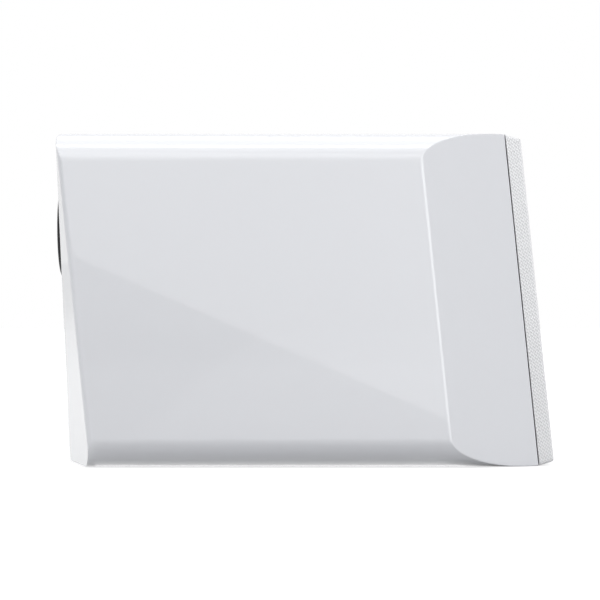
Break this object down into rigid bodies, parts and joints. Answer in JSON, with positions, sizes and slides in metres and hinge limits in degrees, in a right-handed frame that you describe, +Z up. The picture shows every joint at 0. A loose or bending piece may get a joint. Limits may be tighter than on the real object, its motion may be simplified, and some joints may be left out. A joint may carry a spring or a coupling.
{
  "type": "center channel speaker",
  "caption": "Low, wide home-theatre loudspeaker: glossy white cabinet with faceted sides and a back-leaning front behind a pull-off cloth grille, rear ports and recessed terminals.",
  "frame": {"origin": "middle of the base in plan, at the height of the surface it stands on", "axes": "+X to the right seen from the front, across the width; the front faces -Y; +Z up"},
  "size_m": [0.52, 0.274, 0.1801],
  "materials": {
    "white_lacquer": "white high-gloss lacquer on fibreboard",
    "black_board": "black satin lacquer on fibreboard",
    "raw_board": "raw fibreboard",
    "wadding": "polyester wadding",
    "black_plastic": "moulded, fine texture",
    "port_plastic": "moulded, semi-gloss",
    "black_rubber": "butyl rubber",
    "gold_brass": "gold-plated brass",
    "red_plastic": "moulded",
    "knob_black": "moulded",
    "zinc_steel": "zinc plated",
    "black_steel": "black oxide",
    "board_green": "glass-epoxy board",
    "copper": "enamelled copper wire",
    "capacitor_film": "wrapped film",
    "cement": "cement-filled ceramic",
    "basket_metal": "black powder coat",
    "ferrite": "sintered ferrite",
    "cone_black": "filled polypropylene",
    "spider_cloth": "resin-dipped cloth",
    "dome_silver": "thin pressed dome",
    "grille_plastic": "moulded",
    "grille_cloth": "white woven cloth",
    "lead_sleeve": "insulated wire"
  },
  "bodies": {
    "cabinet": {"cabinet_shell": "white_lacquer", "front_baffle": "black_board", "left_brace": "raw_board", "right_brace": "raw_board", "left_damping_pad": "wadding", "right_damping_pad": "wadding", "left_port": "port_plastic", "right_port": "port_plastic", "terminal_cup": "black_plastic", "terminal_gasket": "black_rubber", "red_post": "gold_brass", "black_post": "gold_brass", "terminal_nuts": "zinc_steel", "terminal_screws": "black_steel", "crossover_board": "board_green", "crossover_spacers": "cement", "crossover_screws": "zinc_steel", "crossover_chokes": "copper", "crossover_capacitors": "capacitor_film", "crossover_resistors": "cement", "tweeter_faceplate": "black_plastic", "tweeter_dome": "dome_silver", "tweeter_coil": "copper", "tweeter_top_plate": "zinc_steel", "tweeter_magnet": "ferrite", "tweeter_yoke": "zinc_steel", "tweeter_screws": "black_steel", "peg_sockets": "black_rubber", "left_lead": "lead_sleeve", "right_lead": "lead_sleeve", "tweeter_lead": "lead_sleeve", "input_lead": "lead_sleeve", "left_basket": "basket_metal", "left_top_plate": "zinc_steel", "left_magnet": "ferrite", "left_yoke": "zinc_steel", "left_spider": "spider_cloth", "left_surround": "black_rubber", "left_trim_ring": "black_rubber", "left_screws": "black_steel", "right_basket": "basket_metal", "right_top_plate": "zinc_steel", "right_magnet": "ferrite", "right_yoke": "zinc_steel", "right_spider": "spider_cloth", "right_surround": "black_rubber", "right_trim_ring": "black_rubber", "right_screws": "black_steel"},
    "grille": {"grille_frame": "grille_plastic", "grille_cloth": "grille_cloth"},
    "red_knob": {"red_knob": "red_plastic"},
    "black_knob": {"black_knob": "knob_black"},
    "left_diaphragm": {"left_cone": "cone_black", "left_dust_cap": "cone_black", "left_voice_coil": "copper"},
    "right_diaphragm": {"right_cone": "cone_black", "right_dust_cap": "cone_black", "right_voice_coil": "copper"}
  },
  "joints": [
    {"name": "grille_pull", "type": "slide", "parent": "cabinet", "child": "grille", "axis": [0, -0.9947, 0.1028], "range_m": [0, 0.04]},
    {"name": "left_cone_travel", "type": "slide", "parent": "cabinet", "child": "left_diaphragm", "axis": [0, -0.9947, 0.1028], "range_m": [-0.004, 0.004], "stiffness_N_per_m": 1250, "deforming": ["left_surround", "left_spider"]},
    {"name": "right_cone_travel", "type": "slide", "parent": "cabinet", "child": "right_diaphragm", "axis": [0, -0.9947, 0.1028], "range_m": [-0.004, 0.004], "stiffness_N_per_m": 1250, "deforming": ["right_surround", "right_spider"]},
    {"name": "red_knob_turn", "type": "hinge", "parent": "cabinet", "child": "red_knob", "pos_m": [0.00953, 0.1224, 0.09009], "axis": [0, 0.9999, -0.0105], "range_deg": [0, 720]},
    {"name": "black_knob_turn", "type": "hinge", "parent": "cabinet", "child": "black_knob", "pos_m": [-0.00953, 0.1224, 0.09009], "axis": [0, 0.9999, -0.0105], "range_deg": [0, 720]}
  ]
}
